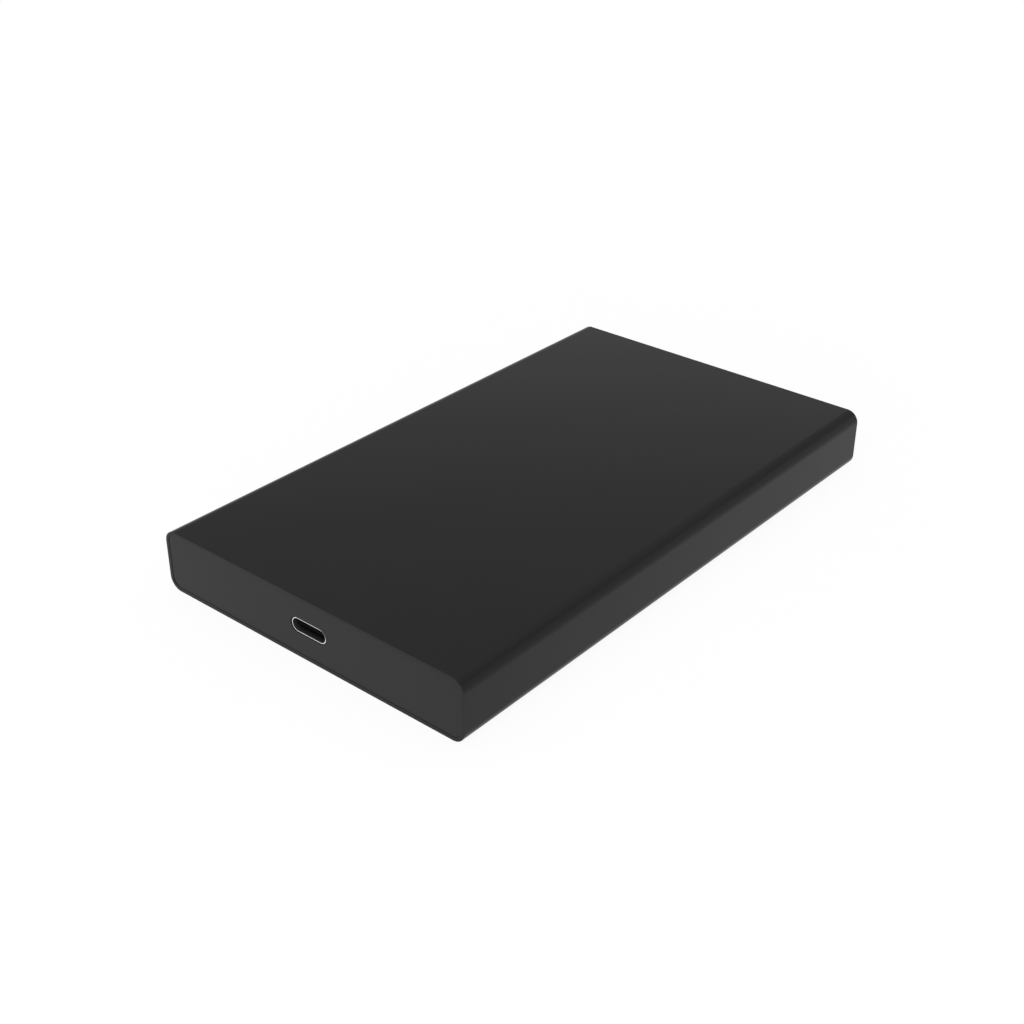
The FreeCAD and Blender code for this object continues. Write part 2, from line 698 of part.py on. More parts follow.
def board_socket_contacts():
    """Strips that bear on the plug's contacts, run forward through the socket and bend down to the board."""
    low, high = socket_contact_z
    tip = socket_nose_rear - CONTACT_TIP_GAP
    outline = [(tip, low), (tip, high), (socket_pin_front, high), (socket_pin_front, board_top),
               (socket_pin_rear, board_top), (socket_pin_rear, low)]
    lefts = [left for row in contact_rows() for left in row]
    width = Vector(CONTACT_WIDTH, 0, 0)
    return group([extruded([Vector(left, y, z) for y, z in outline], width) for left in lefts])


def drive_plug():
    """The plug: a block in front of the drive's board, two keyed blades and a guide at each end."""
    z = (drive_floor_top, blade_level + PLUG_RISE)
    body = block(about(PLUG_OFFSET, plug_width), (plug_block_front, drive_board_front), z)
    guides = []
    for side in SIDES:
        near, far = on_side(side, plug_width / 2 - PLUG_GUIDE_WIDTH, plug_width / 2)
        guides.append(block((PLUG_OFFSET + near, PLUG_OFFSET + far), (drive_front, drive_board_front), z))
    blades = [blade(x, (blade_front, drive_board_front), 0, 0) for x in blade_spans()]
    slots = contact_slots((blade_front, drive_board_front), plug_contact_z)
    return body.fuse(guides + blades).removeSplitter().cut(slots)


def board_socket():
    """The socket: a body on the bridge board, and a nose with a keyed slot for each blade."""
    headroom = 2 * CONTACT_THICKNESS
    nose_top = blade_top + headroom + SOCKET_NOSE_WALL
    nose_bottom = blade_level - BLADE_THICKNESS / 2 - BLADE_KEY_DROP - SOCKET_SLOT_GAP - SOCKET_NOSE_WALL
    body = block(about(PLUG_OFFSET, plug_width), (socket_body_front, socket_body_rear),
                 (board_top, nose_top + SOCKET_BODY_RISE))
    nose_y = ((board_rear + socket_body_rear) / 2, socket_nose_rear)
    nose = block(about(PLUG_OFFSET, nose_width), nose_y, (nose_bottom, nose_top))
    slot_front = blade_front - SOCKET_NOSE_GAP
    slots = [blade(x, (slot_front, drive_board_front), SOCKET_SLOT_GAP, headroom) for x in blade_spans()]
    slots += contact_slots((socket_body_front, slot_front), socket_contact_z)
    return body.fuse(nose).removeSplitter().cut(slots)


# The drive

def drive_outline(growth, corner, z):
    """A flat plate of the drive's outline, grown or shrunk all round."""
    half = drive_half + growth
    return plate((-half, half), (drive_front - growth, drive_rear + growth), corner, z)


def lid_hook_places():
    """The side and the middle of each hook along the lid's two side ribs."""
    rows = (drive_front + LID_RIB_END + LID_HOOK_INSET, drive_rear - LID_RIB_END - LID_HOOK_INSET)
    return [(side, y) for y in rows for side in SIDES]


def drive_seats():
    """Blocks along the tub's sides: under the rear of the drive's board, and round the four screw holes."""
    z = (drive_bottom + DRIVE_FLOOR / 2, drive_board_bottom)
    rows = drive_hole_rows + (drive_board_rear - DRIVE_SEAT_SIZE / 2,)
    seats = []
    for side in SIDES:
        x = on_side(side, drive_hole_x - DRIVE_SEAT_SIZE / 2, drive_half - DRIVE_WALL / 2)
        seats += [block(x, about(y, DRIVE_SEAT_SIZE), z) for y in rows]
    return seats


def lid_hook_pockets():
    """Pockets in the tub's sides that the lid's hooks snap into."""
    z = (lid_hook_bottom - LID_HOOK_GAP, lid_hook_bottom + LID_HOOK_HEIGHT + LID_HOOK_GAP)
    depth = drive_bore_half + LID_HOOK_REACH + LID_HOOK_GAP
    width = LID_HOOK_WIDTH + 2 * LID_HOOK_GAP
    return [block(on_side(side, rib_outer, depth), about(y, width), z) for side, y in lid_hook_places()]


def drive_base():
    """The tub, with its seats and pockets, blind screw holes and a notch round the plug."""
    outer = drive_outline(0, DRIVE_CORNER, (drive_bottom, lid_bottom))
    hollow = drive_outline(-DRIVE_WALL, DRIVE_CORNER - DRIVE_WALL, (drive_floor_top, drive_top))
    body = outer.cut(hollow).fuse(drive_seats()).removeSplitter()
    notch_x = about(PLUG_OFFSET, plug_width + 2 * PLUG_NOTCH_GAP)
    notch_y = (drive_front - DRIVE_WALL, plug_block_front)
    notch = block(notch_x, notch_y, (drive_bottom - DRIVE_FLOOR, drive_top))
    holes = flat_holes(drive_screw, drive_hole_seats(drive_hole_rows))
    return body.cut(holes + lid_hook_pockets() + [notch])


def lid_hook(side, y):
    """A wedge on a side rib that snaps into its pocket: it slopes up to a flat catch."""
    root = rib_outer - LID_RIB_WIDTH / 2
    tip = drive_bore_half + LID_HOOK_REACH
    catch = lid_hook_bottom + LID_HOOK_HEIGHT
    outline = [(root, lid_hook_bottom), (rib_outer, lid_hook_bottom), (tip, catch), (root, catch)]
    points = [Vector(side * x, y - LID_HOOK_WIDTH / 2, z) for x, z in outline]
    return extruded(points, Vector(0, LID_HOOK_WIDTH, 0))


def drive_lid():
    """The lid, with hooked ribs along its sides and a plain one at the rear."""
    lid = drive_outline(0, DRIVE_CORNER, (lid_bottom, drive_top))
    z = (lid_bottom - LID_RIB_DEPTH, lid_bottom + DRIVE_LID_THICKNESS / 2)
    side_y = (drive_front + LID_RIB_END, drive_rear - LID_RIB_END)
    ribs = [block(on_side(side, rib_outer - LID_RIB_WIDTH, rib_outer), side_y, z) for side in SIDES]
    rear_y = drive_rear - DRIVE_WALL - LID_RIB_GAP
    rear_half = drive_half - LID_RIB_END
    ribs.append(block((-rear_half, rear_half), (rear_y - LID_RIB_WIDTH, rear_y), z))
    hooks = [lid_hook(side, y) for side, y in lid_hook_places()]
    return lid.fuse(ribs + hooks).removeSplitter()


def drive_board():
    """The drive's board, which lies on the seats in the tub and meets the back of the plug."""
    return block((-drive_board_half, drive_board_half), (drive_board_front, drive_board_rear),
                 (drive_board_bottom, drive_board_top))


def drive_chip(x_middle, y_front, width, depth):
    """A flat chip on top of the drive's board."""
    return block(about(x_middle, width), (y_front, y_front + depth), (drive_board_top, drive_chip_top))


def controller_chip():
    return drive_chip(CONTROLLER_OFFSET, controller_front, CONTROLLER_SIZE, CONTROLLER_SIZE)


def cache_chip():
    return drive_chip(-CACHE_OFFSET, controller_front, CACHE_WIDTH, CACHE_DEPTH)


def flash_chip(index):
    """One of the row of flash memory chips, counted from the left."""
    middle = (index - (FLASH_COUNT - 1) / 2) * (FLASH_WIDTH + FLASH_GAP)
    return drive_chip(middle, flash_front, FLASH_WIDTH, FLASH_DEPTH)


def power_inductors():
    """Two inductors to the right of the controller."""
    left = CONTROLLER_OFFSET + CONTROLLER_SIZE / 2 + DRIVE_PART_GAP
    return inductor_pair(left, controller_front, (drive_board_top, drive_chip_top))


def drive_capacitors():
    """A row of capacitors behind the flash chips."""
    left = -(DRIVE_CAPACITORS * CAPACITOR_WIDTH + (DRIVE_CAPACITORS - 1) * CAPACITOR_GAP) / 2
    return capacitor_row(DRIVE_CAPACITORS, left, flash_front + FLASH_DEPTH + DRIVE_PART_GAP, drive_board_top)


def drive_thermal_pads():
    """One pad on the controller and one on the flash chips, both up to the lid."""
    z = (drive_chip_top, lid_bottom)
    trim = 2 * DRIVE_PAD_MARGIN
    row_width = FLASH_COUNT * FLASH_WIDTH + (FLASH_COUNT - 1) * FLASH_GAP
    on_controller = block(about(CONTROLLER_OFFSET, CONTROLLER_SIZE - trim),
                          about(controller_front + CONTROLLER_SIZE / 2, CONTROLLER_SIZE - trim), z)
    on_flash = block(about(0, row_width - trim), about(flash_front + FLASH_DEPTH / 2, FLASH_DEPTH - trim), z)
    return group([on_controller, on_flash])


PIECES = [
    sleeve, front_plate, rear_plate, rear_plate_screws,
    tray, front_plate_screws, drive_screws, case_thermal_pad,
    bridge_board, bridge_board_screws, bridge_chip, firmware_chip, bridge_crystal, bridge_inductors,
    bridge_capacitors, port_shell, port_tongue, port_contacts, port_shield_plate,
    board_socket, board_socket_contacts, drive_plug, drive_plug_contacts,
    drive_base, drive_lid, drive_board, controller_chip, cache_chip, power_inductors, drive_capacitors,
    drive_thermal_pads,
]

os.makedirs("parts", exist_ok=True)
for make_piece in PIECES:
    make_piece().exportStep(f"parts/{make_piece.__name__}.step")
for flash_index in range(FLASH_COUNT):
    flash_chip(flash_index).exportStep(f"parts/flash_chip_{flash_index + 1}.step")
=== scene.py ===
"""Looks of the external solid state drive: satin black sleeve and end plates, bright port, white studio."""

import json
import math

import bmesh
import bpy
from bmesh.types import BMEdge, BMFace, BMVert
from bpy.props import FloatProperty, FloatVectorProperty, IntProperty, PointerProperty
from bpy.types import NodeSocket, Operator, Panel, PropertyGroup
from mathutils import Matrix, Vector


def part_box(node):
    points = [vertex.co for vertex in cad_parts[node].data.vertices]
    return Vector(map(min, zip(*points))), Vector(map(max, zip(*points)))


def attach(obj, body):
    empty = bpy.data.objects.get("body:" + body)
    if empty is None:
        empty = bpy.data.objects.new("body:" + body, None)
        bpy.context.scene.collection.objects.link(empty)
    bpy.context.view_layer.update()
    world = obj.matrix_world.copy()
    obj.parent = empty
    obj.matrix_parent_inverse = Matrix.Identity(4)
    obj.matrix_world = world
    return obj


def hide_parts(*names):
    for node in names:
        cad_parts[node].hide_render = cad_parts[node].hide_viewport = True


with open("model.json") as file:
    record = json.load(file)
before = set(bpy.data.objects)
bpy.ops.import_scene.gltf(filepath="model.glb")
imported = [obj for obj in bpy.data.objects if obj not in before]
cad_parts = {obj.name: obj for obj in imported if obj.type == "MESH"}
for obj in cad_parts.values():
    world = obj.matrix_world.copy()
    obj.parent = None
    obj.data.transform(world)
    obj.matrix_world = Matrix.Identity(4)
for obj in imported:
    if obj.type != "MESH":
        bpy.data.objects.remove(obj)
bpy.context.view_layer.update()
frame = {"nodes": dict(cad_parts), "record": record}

bl_info = {
    "name": "External drive looks",
    "version": (1, 0, 0),
    "blender": (4, 5, 0),
    "location": "View3D > Sidebar > Drive",
    "description": "Dresses the packed external drive and sets its studio",
    "category": "Object",
}

RECORD_TONES = {row["slot"]: row["base_color"][:3] for row in frame["record"]["materials"]}
NODE_SLOTS = {row["node"]: row["material_slot"] for row in frame["record"]["subparts"]}
SIDES = (-1, 1)
WHITE = (1, 1, 1, 1)

# Faces that meet at less than the first angle are shaded as one, and edges past the second are rounded
SMOOTH_LIMIT = math.radians(38)
SHARP_EDGE = math.radians(60)

# Metres within which two vertices become one, and within which an edge lies in a plate's face
WELD_DISTANCE = 1e-7
FLUSH_DISTANCE = 1e-6

# The edges along a screw's round rims are shorter than this share of its head
RIM_EDGE_SHARE = 1 / 8

# Height in metres of a finish's relief at full strength, and how many layers its two patterns have
RELIEF_HEIGHT = 2e-5
GRAIN_DETAIL = 3
CLOUD_DETAIL = 4

# Places of a colour Mix node's sockets, whose names its other kinds share
MIX_FIRST = 6
MIX_SECOND = 7
MIX_RESULT = 2

# Width of the camera's sensor, in millimetres
SENSOR_WIDTH = 36

# Heights above eye level, in degrees, at which the sky's brightness is given
SKY_HEIGHTS = (0, 8, 16, 24, 32, 40, 50, 65, 90)


def length(name, description, default):
    """A length in metres that a user may change."""
    return FloatProperty(name=name, description=description, default=default,
                         subtype="DISTANCE", unit="LENGTH")


def share(name, description, default):
    """A number from 0 to 1 that a user may change."""
    return FloatProperty(name=name, description=description, default=default,
                         min=0, max=1, subtype="FACTOR")


def count(name, description, default):
    """A whole number that a user may change."""
    return IntProperty(name=name, description=description, default=default, min=1)


def tone(name, description, default):
    """A colour that a user may change."""
    return FloatVectorProperty(name=name, description=description, default=default,
                               min=0, max=1, subtype="COLOR")


class DriveCaseSizes(PropertyGroup):
    """Sizes of the sleeve and its end plates"""
    edge_radius: length("Edge radius", "Radius along the sleeve's four long edges", 2.7e-3)
    wall: length("Wall", "Thickness of the sleeve's wall", 0.8e-3)
    rail_depth: length("Rail depth", "How far the sleeve's inner rails stand out", 1.2e-3)
    rail_height: length("Rail height", "Height of each inner rail", 1.0e-3)
    rail_level: length("Rail level", "Underside of the lower rails", 2.15e-3)
    edge_break: length("Edge break", "Rounding of the sleeve's cut ends", 0.025e-3)
    edge_steps: count("Edge steps", "Faces across each edge of the sleeve's cut ends", 3)
    plate_break: length("Plate edge break", "Rounding of the end plates' edges", 0.015e-3)
    plate_steps: count("Plate edge steps", "Faces across each edge of the end plates", 2)
    plate_fit: length("Plate fit", "Gap between an end plate and the sleeve", 0.012e-3)
    front_plate: length("Front plate", "Thickness of the front plate", 2.0e-3)
    lug_height: length("Lug height", "Height of the front plate's lugs", 4.6e-3)
    lug_width: length("Lug width", "Width of the front plate's lugs", 6.0e-3)
    lug_outer: length("Lug outer side", "Distance of the lugs' outer sides from the middle", 36.0e-3)
    lug_level: length("Lug level", "Underside of the lugs", 2.0e-3)
    round_steps: count("Round steps", "Faces along each quarter round", 18)


class DrivePortSizes(PropertyGroup):
    """Sizes of the data port: its shell, its cut-out and its tongue"""
    width: length("Width", "Width of the opening", 8.34e-3)
    height: length("Height", "Height of the opening", 2.56e-3)
    shell_wall: length("Shell wall", "Thickness of the drawn shell", 0.3e-3)
    shell_lip: length("Shell lip", "Rounding of the shell's mouth", 0.13e-3)
    lip_steps: count("Lip steps", "Faces across each edge of the shell's mouth", 4)
    close_gap: length("Close gap", "Gap between shell and plate at the right and above", 0.005e-3)
    left_gap: length("Left gap", "Gap between shell and plate at the left", 0.2e-3)
    lower_gap: length("Lower gap", "Gap between shell and plate below", 0.075e-3)
    leg_width: length("Leg width", "Width of each leg of the shell", 0.9e-3)
    leg_thickness: length("Leg thickness", "Thickness of each leg of the shell", 0.3e-3)
    front_leg: length("Front leg", "Distance of the front legs behind the mouth", 3.9e-3)
    leg_pitch: length("Leg pitch", "Distance between the legs of one side", 2.6e-3)
    legs_per_side: count("Legs per side", "Legs along each side of the shell", 2)
    block_length: length("Block length", "Length of the moulded block that fills the shell's rear", 2.2e-3)
    root_length: length("Root length", "Length of the tongue's thick root", 1.0e-3)
    root_thickness: length("Root thickness", "Thickness of the tongue's root", 1.24e-3)
    tongue_thickness: length("Tongue thickness", "Thickness of the tongue", 0.6e-3)
    tongue_inset: length("Tongue inset", "How far the shield plate's edges stand out of the tongue", 0.002e-3)
    tongue_edge: length("Tongue edge", "Rounding of the tongue's edges", 0.07e-3)
    tongue_steps: count("Tongue edge steps", "Faces across each edge of the tongue", 3)
    tip_round: length("Tip round", "Rounding of the tongue's two front corners", 0.38e-3)
    tip_steps: count("Tip steps", "Faces across each front corner of the tongue", 6)


class DriveScrewSizes(PropertyGroup):
    """Sizes of the rear plate's screws and their holes"""
    head: length("Head", "Diameter of the rear screws' heads", 3.8e-3)
    thread: length("Thread", "Diameter of the rear screws' threads", 2.0e-3)
    gap: length("Gap", "Gap between a screw and its hole", 0.05e-3)
    cross_span: length("Cross span", "Length of each arm pair of the recess", 2.13e-3)
    cross_width: length("Cross width", "Width of the recess's arms", 0.57e-3)
    cross_depth: length("Cross depth", "Depth of the recess", 0.6e-3)
    cross_floor: share("Cross floor", "Size of the recess's floor against its mouth", 0.62)
    head_edge: length("Head edge", "Rounding of a screw's rims", 0.08e-3)
    head_steps: count("Head edge steps", "Faces across each of a screw's rims", 2)


class DriveFinishes(PropertyGroup):
    """Colours and gloss of the pieces that show"""
    case_tone: tone("Case tone", "Colour of the anodised sleeve and rear plate", (0.0132, 0.0132, 0.0132))
    # Paler than the sleeve: partly the front plate's own finish, partly painted light for the light that
    # falls on the front face
    plate_tone_and_painted_light: tone("Plate tone", "Colour of the front plate", (0.0155, 0.0155, 0.0155))
    case_roughness: share("Case roughness", "Roughness of the anodised metal", 0.3)
    case_gloss: share("Case gloss", "Specular level of the anodised metal", 0.11)
    crest_tone: tone("Port crest", "Colour of the shell's brightly polished mouth", (0.88, 0.88, 0.87))
    # The shell behind the crest and far inside is painted shade, dark grey then near black, standing in for
    # the shade inside the port
    shell_painted_shade: tone("Port shell", "Colour of the shell behind its mouth", (0.036, 0.036, 0.036))
    depth_painted_shade: tone("Port depth", "Colour of the shell far inside", (0.004, 0.004, 0.004))
    shell_roughness: share("Port roughness", "Roughness of the port's shell", 0.3)
    crest_depth: length("Crest depth", "How far the bright mouth reaches back", 0.017e-3)
    # How far inside the port the painted shade of the shell reaches its darkest
    painted_shade_depth: length("Dark depth", "How far inside the shell is darkest", 1.5e-3)
    # The moulding's own black, darkened further with painted shade for the shade deep inside the port
    tongue_tone_and_painted_shade: tone("Tongue tone", "Colour of the port's moulded tongue", (0.005, 0.005, 0.005))


class DriveStudio(PropertyGroup):
    """The camera, the floor and the light"""
    eye: FloatVectorProperty(name="Eye", description="Place of the camera", size=3, subtype="TRANSLATION",
                             default=(0.175051, -0.215008, 0.162406))
    aim: FloatVectorProperty(name="Aim", description="Turn of the camera", size=3, subtype="EULER",
                             default=(1.0474145, -0.0009061, 0.7014965))
    lens: FloatProperty(name="Lens", description="Focal length of the camera", default=53.5508,
                        subtype="DISTANCE_CAMERA", unit="CAMERA")
    floor_size: length("Floor size", "Side of the square floor", 6.0)
    floor_gap: length("Floor gap", "Gap that keeps the floor clear of the underside", 2e-5)
    floor_tone: tone("Floor tone", "Colour of the floor", (0.96, 0.96, 0.96))
    shadow_share: share("Shadow share", "How much of the floor's white beside the part takes shadow", 0.08)
    shadow_core: length("Shadow core", "Distance up to which the floor keeps that share", 0.1)
    shadow_reach: length("Shadow reach", "Distance at which the floor is plain white", 0.3)
    sky: FloatVectorProperty(name="Sky", description="Brightness of the studio from eye level to overhead",
                             size=len(SKY_HEIGHTS),
                             default=(0.35, 0.78, 1.25, 0.47, 0.12, 0.58, 0.82, 1.05, 1.15))
    lamp_place: FloatVectorProperty(name="Lamp place", description="Middle of the soft front lamp", size=3,
                                    subtype="TRANSLATION", default=(0.66, -1.92, 0.88))
    lamp_size: length("Lamp size", "Side of the square front lamp", 1.8)
    lamp_power: FloatProperty(name="Lamp power", description="Power of the front lamp", default=39,
                              unit="POWER")


# Shapes

def only(kind, items):
    """Those of the items that are of one kind, such as vertices."""
    return [item for item in items if isinstance(item, kind)]


def middle_of(node, y):
    """The middle of a node's box across X and Z, at a depth along Y."""
    low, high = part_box(node)
    return Vector(((low.x + high.x) / 2, y, (low.z + high.z) / 2))


def rounded_panel(bm, middle, width, height, corner, steps):
    """A flat face across Y about a point, with round corners; returns its vertices."""
    before = set(bm.verts)
    verts = bmesh.ops.create_grid(bm, x_segments=1, y_segments=1, size=0.5)["verts"]
    bmesh.ops.scale(bm, vec=(width, height, 1), verts=verts)
    bmesh.ops.rotate(bm, cent=(0, 0, 0), matrix=Matrix.Rotation(math.pi / 2, 3, "X"), verts=verts)
    bmesh.ops.translate(bm, vec=middle, verts=verts)
    bmesh.ops.bevel(bm, geom=verts, offset=corner, offset_type="OFFSET", segments=steps, profile=0.5,
                    affect="VERTICES", material=-1)
    loop = [vert for vert in bm.verts if vert not in before]
    bmesh.ops.remove_doubles(bm, verts=loop, dist=WELD_DISTANCE)
    return [vert for vert in bm.verts if vert not in before]


def cross_panel(bm, middle, span, width):
    """A flat cross across Y about a point; returns its vertices."""
    arm, half = span / 2, width / 2
    verts = []
    for quarter in range(4):
        turn = Matrix.Rotation(quarter * math.pi / 2, 3, "Y")
        for x, z in ((half, arm), (half, half), (arm, half)):
            verts.append(bm.verts.new(middle + turn @ Vector((x, 0, z))))
    bm.faces.new(verts)
    return verts


def face_of(verts):
    """The one face whose corners are these vertices."""
    chosen = set(verts)
    return next(face for face in verts[0].link_faces if set(face.verts) == chosen)


def loop_edges(verts):
    """The edges round the one face whose corners are these vertices."""
    return list(face_of(verts).edges)


def open_panel(bm, outer, holes):
    """Fills the flat between an outer loop and holes in it; returns the new faces."""
    rim = []
    for verts in [outer] + holes:
        rim += loop_edges(verts)
        bmesh.ops.delete(bm, geom=[face_of(verts)], context="FACES_ONLY")
    made = bmesh.ops.triangle_fill(bm, use_beauty=True, edges=rim)
    return only(BMFace, made["geom"])


def deepen(bm, faces, depth, along=(0, 1, 0)):
    """Pushes flat faces along a direction into a closed solid; returns the vertices of its far side."""
    made = bmesh.ops.extrude_face_region(bm, geom=faces)
    verts = only(BMVert, made["geom"])
    bmesh.ops.translate(bm, vec=depth * Vector(along), verts=verts)
    return verts


def shrink(bm, verts, factor, middle):
    """Scales vertices across X and Z about a point."""
    bmesh.ops.scale(bm, vec=(factor, 1, factor), verts=verts, space=Matrix.Translation(-middle))


def add_tube(bm, outline, wall, depth):
    """Makes a flat face a tube along Y with a wall inside its outline."""
    panel = face_of(outline)
    ring = bmesh.ops.inset_region(bm, faces=[panel], thickness=wall, use_boundary=True, use_even_offset=True)
    bmesh.ops.delete(bm, geom=[panel], context="FACES_ONLY")
    deepen(bm, ring["faces"], depth)


def add_block(bm, low, high):
    """Adds a plain block between two corners."""
    low, high = Vector(low), Vector(high)
    made = bmesh.ops.create_cube(bm, size=1)
    bmesh.ops.scale(bm, vec=high - low, verts=made["verts"])
    bmesh.ops.translate(bm, vec=(low + high) / 2, verts=made["verts"])


def soften(bm, width, steps, keep=lambda edge: True):
    """Rounds the sharp edges of a solid that pass the test."""
    bmesh.ops.recalc_face_normals(bm, faces=bm.faces)
    sharp = [edge for edge in bm.edges
             if edge.is_manifold and edge.calc_face_angle() > SHARP_EDGE and keep(edge)]
    bmesh.ops.bevel(bm, geom=sharp, offset=width, offset_type="OFFSET", segments=steps, profile=0.5,
                    affect="EDGES", clamp_overlap=True, material=-1)


def mesh_from(bm, name, material):
    """Turns a bmesh into a mesh of one material."""
    mesh = bpy.data.meshes.new(name)
    bm.to_mesh(mesh)
    bm.free()
    mesh.materials.append(material)
    return mesh


def add_object(name, data):
    """Adds an object to the scene."""
    added = bpy.data.objects.new(name, data)
    bpy.context.scene.collection.objects.link(added)
    return added


def finished(bm, name, material, node):
    """Makes the mesh an object that rides on the part in place of a node."""
    bmesh.ops.recalc_face_normals(bm, faces=bm.faces)
    mesh = mesh_from(bm, name, material)
    mesh.shade_smooth()
    mesh.set_sharp_from_angle(angle=SMOOTH_LIMIT)
    piece = add_object(name, mesh)
    piece.modifiers.new("flat_faces", "WEIGHTED_NORMAL").keep_sharp = True
    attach(piece, "root")
    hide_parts(node)


# Finishes

# What each finish sets in finish_material beside its colour
ANODISED = {"bump": 0, "grain": 7000, "spread": 0.14, "rough_spread": 0.04}
DRAWN_STEEL = {"metallic": 1.0, "bump": 0.05, "spread": 0.1, "axis_scale": (1, 0.05, 1)}
DULL_MOULDING = {"roughness": 0.6, "gloss": 0}
SLOT_FINISHES = {
    "black_screws": {"roughness": 0.34, "gloss": 0.35, "bump": 0.06},
    "plain_screws": {"roughness": 0.3, "metallic": 1.0, "bump": 0.05},
    "port_steel": {"roughness": 0.26, "metallic": 1.0, "bump": 0.05},
    "black_moulding": {"roughness": 0.55, "gloss": 0.4, "bump": 0.2, "grain": 1800},
    "gilt_contacts": {"roughness": 0.22, "metallic": 1.0, "bump": 0.04, "spread": 0.08},
    "boards": {"roughness": 0.38, "cloud": 400, "spread": 0.5},
    "chips": {"roughness": 0.5, "gloss": 0.4, "bump": 0.15, "grain": 3000},
    "inductors": {"roughness": 0.6, "bump": 0.3, "grain": 4000, "spread": 0.4},
    "capacitors": {"roughness": 0.45, "cloud": 900, "spread": 0.3},
    "pads": {"roughness": 0.8, "gloss": 0.2, "bump": 0.3, "grain": 1200},
    "drive_case": {"roughness": 0.36, "metallic": 1.0, "spread": 0.2, "axis_scale": (1, 0.03, 1)},
}
GRAIN_INPUTS = (
    ("Tone", "NodeSocketColor", (0.5, 0.5, 0.5, 1)),
    ("Tone Spread", "NodeSocketFloat", 0.12),
    ("Roughness", "NodeSocketFloat", 0.5),
    ("Roughness Spread", "NodeSocketFloat", 0.08),
    ("Grains per Metre", "NodeSocketFloat", 2500),
    ("Clouds per Metre", "NodeSocketFloat", 40),
    ("Axis Scale", "NodeSocketVector", (1, 1, 1)),
)
GRAIN_OUTPUTS = (
    ("Color", "NodeSocketColor"),
    ("Roughness", "NodeSocketFloat"),
    ("Height", "NodeSocketFloat"),
)


def feed(links, source, socket):
    """Links a node's output to a socket, or sets the socket to a plain value."""
    if isinstance(source, NodeSocket):
        links.new(source, socket)
    else:
        socket.default_value = source


def math_step(nodes, links, operation, *terms):
    """One step of arithmetic on outputs and plain values; returns its result."""
    step = nodes.new("ShaderNodeMath")
    step.operation = operation
    for term, socket in zip(terms, step.inputs):
        feed(links, term, socket)
    return step.outputs[0]


def mix_colours(nodes, links, amount, first, second):
    """Blends from the first colour to the second by an amount; returns the result."""
    mix = nodes.new("ShaderNodeMix")
    mix.data_type = "RGBA"
    feed(links, amount, mix.inputs["Factor"])
    feed(links, first, mix.inputs[MIX_FIRST])
    feed(links, second, mix.inputs[MIX_SECOND])
    return mix.outputs[MIX_RESULT]


def noise(nodes, links, place, scale, detail):
    """A pattern of soft patches; returns its value."""
    patches = nodes.new("ShaderNodeTexNoise")
    feed(links, place, patches.inputs["Vector"])
    feed(links, scale, patches.inputs["Scale"])
    feed(links, detail, patches.inputs["Detail"])
    return patches.outputs["Fac"]


def grain_group():
    """Fine grain and soft clouds that vary a finish over its surface, built once."""
    group = bpy.data.node_groups.get("surface_grain")
    if group:
        return group
    group = bpy.data.node_groups.new("surface_grain", "ShaderNodeTree")
    for name, kind, default in GRAIN_INPUTS:
        group.interface.new_socket(name=name, in_out="INPUT", socket_type=kind).default_value = default
    for name, kind in GRAIN_OUTPUTS:
        group.interface.new_socket(name=name, in_out="OUTPUT", socket_type=kind)
    nodes, links = group.nodes, group.links
    given = nodes.new("NodeGroupInput").outputs
    results = nodes.new("NodeGroupOutput").inputs
    place = nodes.new("ShaderNodeTexCoord")
    scaled = nodes.new("ShaderNodeMapping")
    links.new(place.outputs["Object"], scaled.inputs["Vector"])
    links.new(given["Axis Scale"], scaled.inputs["Scale"])
    grain = noise(nodes, links, scaled.outputs["Vector"], given["Grains per Metre"], GRAIN_DETAIL)
    cloud = noise(nodes, links, scaled.outputs["Vector"], given["Clouds per Metre"], CLOUD_DETAIL)
    both = math_step(nodes, links, "ADD", grain, cloud)
    centred = math_step(nodes, links, "SUBTRACT", both, 1)
    rough = math_step(nodes, links, "MULTIPLY_ADD", centred, given["Roughness Spread"], given["Roughness"])
    shade = math_step(nodes, links, "MULTIPLY_ADD", centred, given["Tone Spread"], 1)
    toned = nodes.new("ShaderNodeVectorMath")
    toned.operation = "SCALE"
    links.new(given["Tone"], toned.inputs[0])
    links.new(shade, toned.inputs["Scale"])
    links.new(toned.outputs[0], results["Color"])
    links.new(rough, results["Roughness"])
    links.new(grain, results["Height"])
    return group


def finish_material(name, colour, roughness, metallic=0.0, gloss=0.5, bump=0.1, grain=2500, cloud=40,
                    spread=0.12, rough_spread=0.08, axis_scale=(1, 1, 1)):
    """A finish whose colour, roughness and relief come from the grain group.

    The grain and the clouds are so many to the metre, the spreads are how far they vary the colour and the
    roughness, and an axis scale under 1 draws both patterns out along that axis.
    """
    material = bpy.data.materials.new(name)
    material.use_nodes = True
    nodes, links = material.node_tree.nodes, material.node_tree.links
    shader = nodes["Principled BSDF"]
    shader.inputs["Metallic"].default_value = metallic
    shader.inputs["Specular IOR Level"].default_value = gloss
    grained = nodes.new("ShaderNodeGroup")
    grained.node_tree = grain_group()
    values = ((*colour, 1), spread, roughness, rough_spread, grain, cloud, axis_scale)
    for (socket, _, _), value in zip(GRAIN_INPUTS, values):
        grained.inputs[socket].default_value = value
    links.new(grained.outputs["Color"], shader.inputs["Base Color"])
    links.new(grained.outputs["Roughness"], shader.inputs["Roughness"])
    if bump:
        relief = nodes.new("ShaderNodeBump")
        relief.inputs["Strength"].default_value = bump
        relief.inputs["Distance"].default_value = RELIEF_HEIGHT
        links.new(grained.outputs["Height"], relief.inputs["Height"])
        links.new(relief.outputs["Normal"], shader.inputs["Normal"])
    return material


